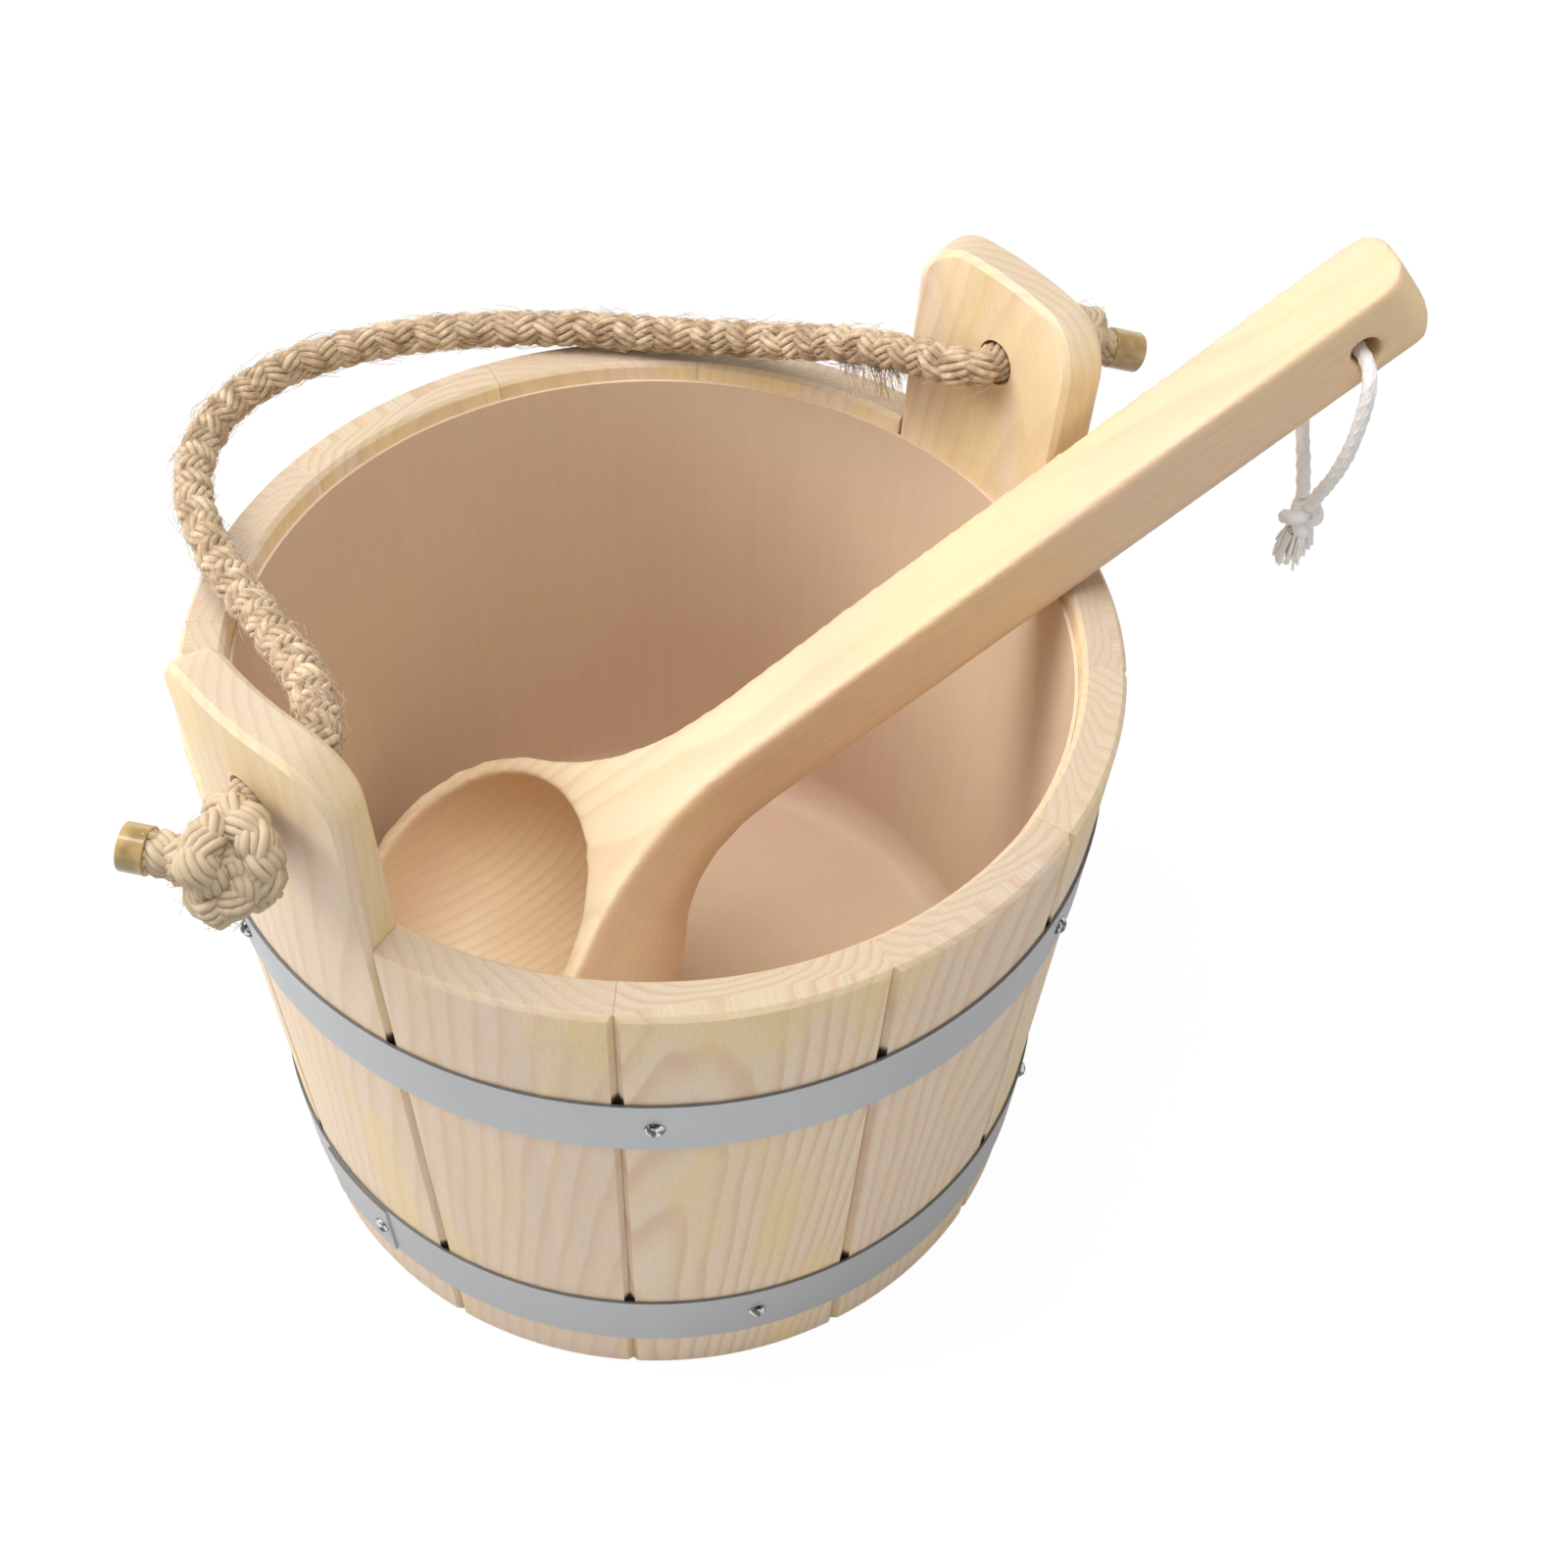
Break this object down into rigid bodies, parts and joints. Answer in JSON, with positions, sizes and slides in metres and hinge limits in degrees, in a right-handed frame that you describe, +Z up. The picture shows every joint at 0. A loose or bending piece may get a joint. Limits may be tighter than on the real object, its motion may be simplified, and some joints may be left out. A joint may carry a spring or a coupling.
{
  "type": "sauna bucket with ladle",
  "caption": "Staved pine bucket with steel hoops, an inner liner and a rope handle, and a one-piece wooden ladle with a cotton hanging loop lying in it.",
  "frame": {"origin": "On the bucket's axis, in the plane it stands on.", "axes": "+Z up along the bucket's axis, -Y towards the side that the picture shows as the front, +X to the side that the ladle's handle leans over."},
  "size_m": [0.3246, 0.2474, 0.2799],
  "materials": {
    "stave_wood": "bare planed pine, satin",
    "board_wood": "bare planed pine",
    "liner_plastic": "translucent moulded plastic, softly glossy",
    "hoop_steel": "blue-grey satin strip",
    "nail_steel": "bright domed heads",
    "jute_rope": "twisted hairy jute",
    "rope_tape": "clear glossy tape over brown jute",
    "ladle_wood": "bare planed softwood, satin",
    "cotton_cord": "white twisted cotton"
  },
  "bodies": {
    "bucket": {"stave_01": "stave_wood", "stave_02": "stave_wood", "stave_03": "stave_wood", "stave_04": "stave_wood", "stave_05": "stave_wood", "stave_06": "stave_wood", "stave_07": "stave_wood", "stave_08": "stave_wood", "stave_09": "stave_wood", "stave_10": "stave_wood", "ear_stave_left": "stave_wood", "ear_stave_right": "stave_wood", "bottom_board": "board_wood", "liner": "liner_plastic", "upper_hoop": "hoop_steel", "lower_hoop": "hoop_steel", "upper_hoop_nails": "nail_steel", "lower_hoop_nails": "nail_steel", "upper_hoop_lap_rivet": "nail_steel", "lower_hoop_lap_rivet": "nail_steel"},
    "rope": {"rope_span": "jute_rope", "rope_knot_left": "jute_rope", "rope_knot_right": "jute_rope", "rope_tail_left": "rope_tape", "rope_tail_right": "rope_tape"},
    "ladle": {"ladle": "ladle_wood"},
    "loop": {"loop_strand_front": "cotton_cord", "loop_strand_back": "cotton_cord", "loop_knot": "cotton_cord", "loop_tassel": "cotton_cord"}
  },
  "joints": [
    {"name": "rope_swing", "type": "hinge", "parent": "bucket", "child": "rope", "pos_m": [0.00654, -0.00654, 0.226], "axis": [0.7071, 0.7071, 0], "range_deg": [0, 90]},
    {"name": "ladle_lift", "type": "slide", "parent": "bucket", "child": "ladle", "axis": [0.5, 0, 0.866], "range_m": [0, 0.3]},
    {"name": "loop_swing", "type": "hinge", "parent": "ladle", "child": "loop", "pos_m": [0.17062, 0.05312, 0.25762], "axis": [-0.273, 0.9611, -0.0409], "range_deg": [-20, 20]}
  ]
}
